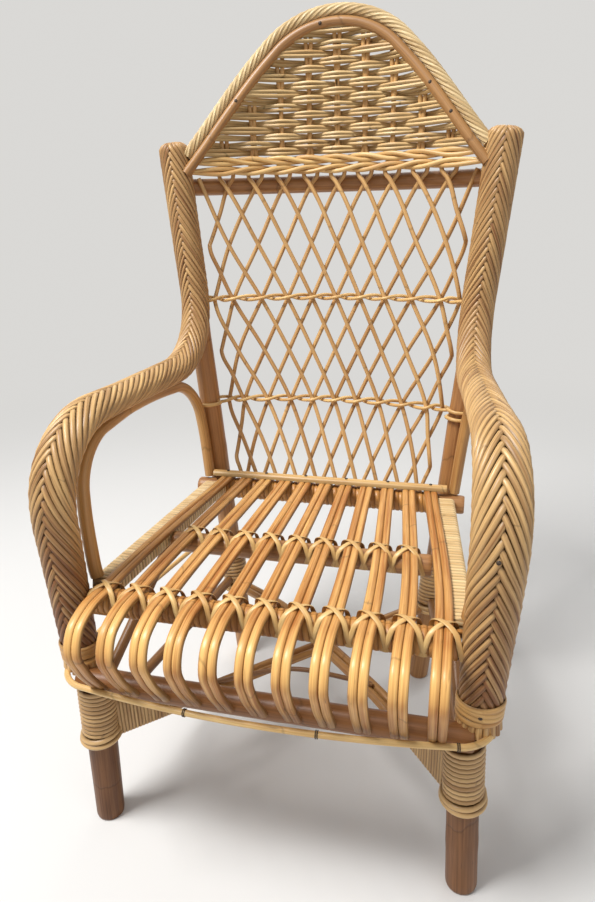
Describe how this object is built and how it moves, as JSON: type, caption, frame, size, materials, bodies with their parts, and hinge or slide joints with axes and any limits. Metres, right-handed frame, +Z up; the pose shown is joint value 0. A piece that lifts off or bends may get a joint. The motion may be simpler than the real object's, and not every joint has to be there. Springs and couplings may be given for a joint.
{
  "type": "child wicker armchair",
  "caption": "Low armchair of bent canes with herringbone-braided arms, a cross-laced slatted seat, a lattice back and a woven, arched crest.",
  "frame": {"origin": "on the floor, under the middle of the chair's outline", "axes": "+Z up, +Y from the front of the seat to the back, +X to the right seen from the front"},
  "size_m": [0.4298, 0.451, 0.802],
  "materials": {
    "pole": "varnished satin",
    "cane": "varnished satin",
    "braid": "varnished satin",
    "slat": "varnished satin",
    "wrap": "varnished satin",
    "weave": "varnished satin"
  },
  "bodies": {
    "root": {"arm_band_left": "wrap", "arm_band_right": "wrap", "arm_braid_left": "braid", "arm_braid_right": "braid", "arm_core_left": "pole", "arm_core_right": "pole", "arm_support_left": "cane", "arm_support_right": "cane", "back_canes_front": "cane", "back_canes_rear": "cane", "back_crossbar": "pole", "back_leg_wrap_left": "wrap", "back_leg_wrap_right": "wrap", "back_post_left": "pole", "back_post_right": "pole", "back_wale": "weave", "back_weavers": "weave", "base_hoop": "cane", "brace_bow": "cane", "crest_bow": "cane", "crest_roll": "braid", "cross_brace_lower": "cane", "cross_brace_upper": "cane", "front_leg_left": "pole", "front_leg_right": "pole", "front_leg_wrap_left": "wrap", "front_leg_wrap_right": "wrap", "front_lower_rail": "pole", "lattice_twine_lower": "weave", "lattice_twine_upper": "weave", "seat_front_lashing": "weave", "seat_front_rail": "pole", "seat_front_wrap": "wrap", "seat_mid_lashing": "weave", "seat_mid_rail": "pole", "seat_rear_batten": "slat", "seat_rear_rail": "pole", "seat_rear_wrap": "wrap", "seat_side_rail_left": "pole", "seat_side_rail_right": "pole", "seat_side_wrap_left": "wrap", "seat_side_wrap_right": "wrap", "seat_slat_01": "slat", "seat_slat_02": "slat", "seat_slat_03": "slat", "seat_slat_04": "slat", "seat_slat_05": "slat", "seat_slat_06": "slat", "seat_slat_07": "slat", "seat_slat_08": "slat", "seat_slat_09": "slat", "seat_slat_10": "slat", "seat_slat_11": "slat", "side_stretcher_left": "cane", "side_stretcher_right": "cane", "side_strut_left": "cane", "side_strut_right": "cane"}
  },
  "joints": []
}
